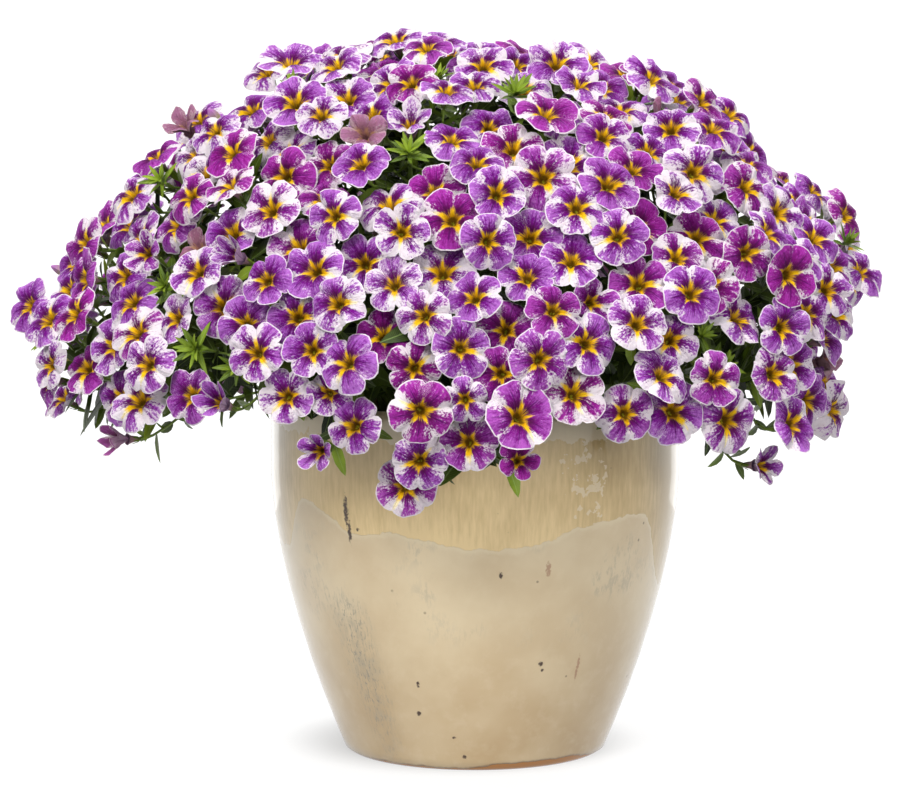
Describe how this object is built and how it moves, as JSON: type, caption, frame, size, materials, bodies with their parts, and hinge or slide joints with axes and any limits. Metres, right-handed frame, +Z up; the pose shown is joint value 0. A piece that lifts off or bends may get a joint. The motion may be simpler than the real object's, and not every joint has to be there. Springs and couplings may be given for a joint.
{
  "type": "calibrachoa in a glazed pot",
  "caption": "Mounded flowering bedding plant with small five-lobed funnel blooms, rooted in a round glazed stoneware pot with a rounded lip and a narrow foot.",
  "frame": {"origin": "centre of the pot's flat foot, on the surface that it stands on", "axes": "+Z up along the pot's axis; -Y is the front of the plant, the side that its blooms lean to; +X is to the right as seen from the front"},
  "size_m": [0.4588, 0.4303, 0.3844],
  "materials": {
    "glazed_stoneware": "gloss",
    "potting_soil": "matte",
    "petals": "satin",
    "foliage": "satin"
  },
  "bodies": {
    "root": {"pot": "glazed_stoneware", "soil": "potting_soil", "spray_01": "petals", "spray_02": "petals", "spray_03": "petals", "spray_04": "petals", "spray_05": "petals", "spray_06": "petals", "spray_07": "petals", "spray_08": "petals", "spray_09": "petals", "spray_10": "petals", "spray_11": "petals", "spray_12": "petals", "spray_13": "petals", "spray_14": "petals", "spray_15": "petals", "spray_16": "petals", "spray_17": "petals", "spray_18": "petals", "spray_19": "petals", "spray_20": "petals", "spray_21": "petals", "spray_22": "petals", "spray_23": "petals", "spray_24": "petals", "spray_25": "petals", "spray_26": "petals", "spray_27": "petals", "spray_28": "petals", "spray_29": "petals", "spray_30": "petals", "spray_31": "petals", "spray_32": "petals", "spray_33": "petals", "spray_34": "petals", "spray_35": "petals", "spray_36": "petals"}
  },
  "joints": []
}
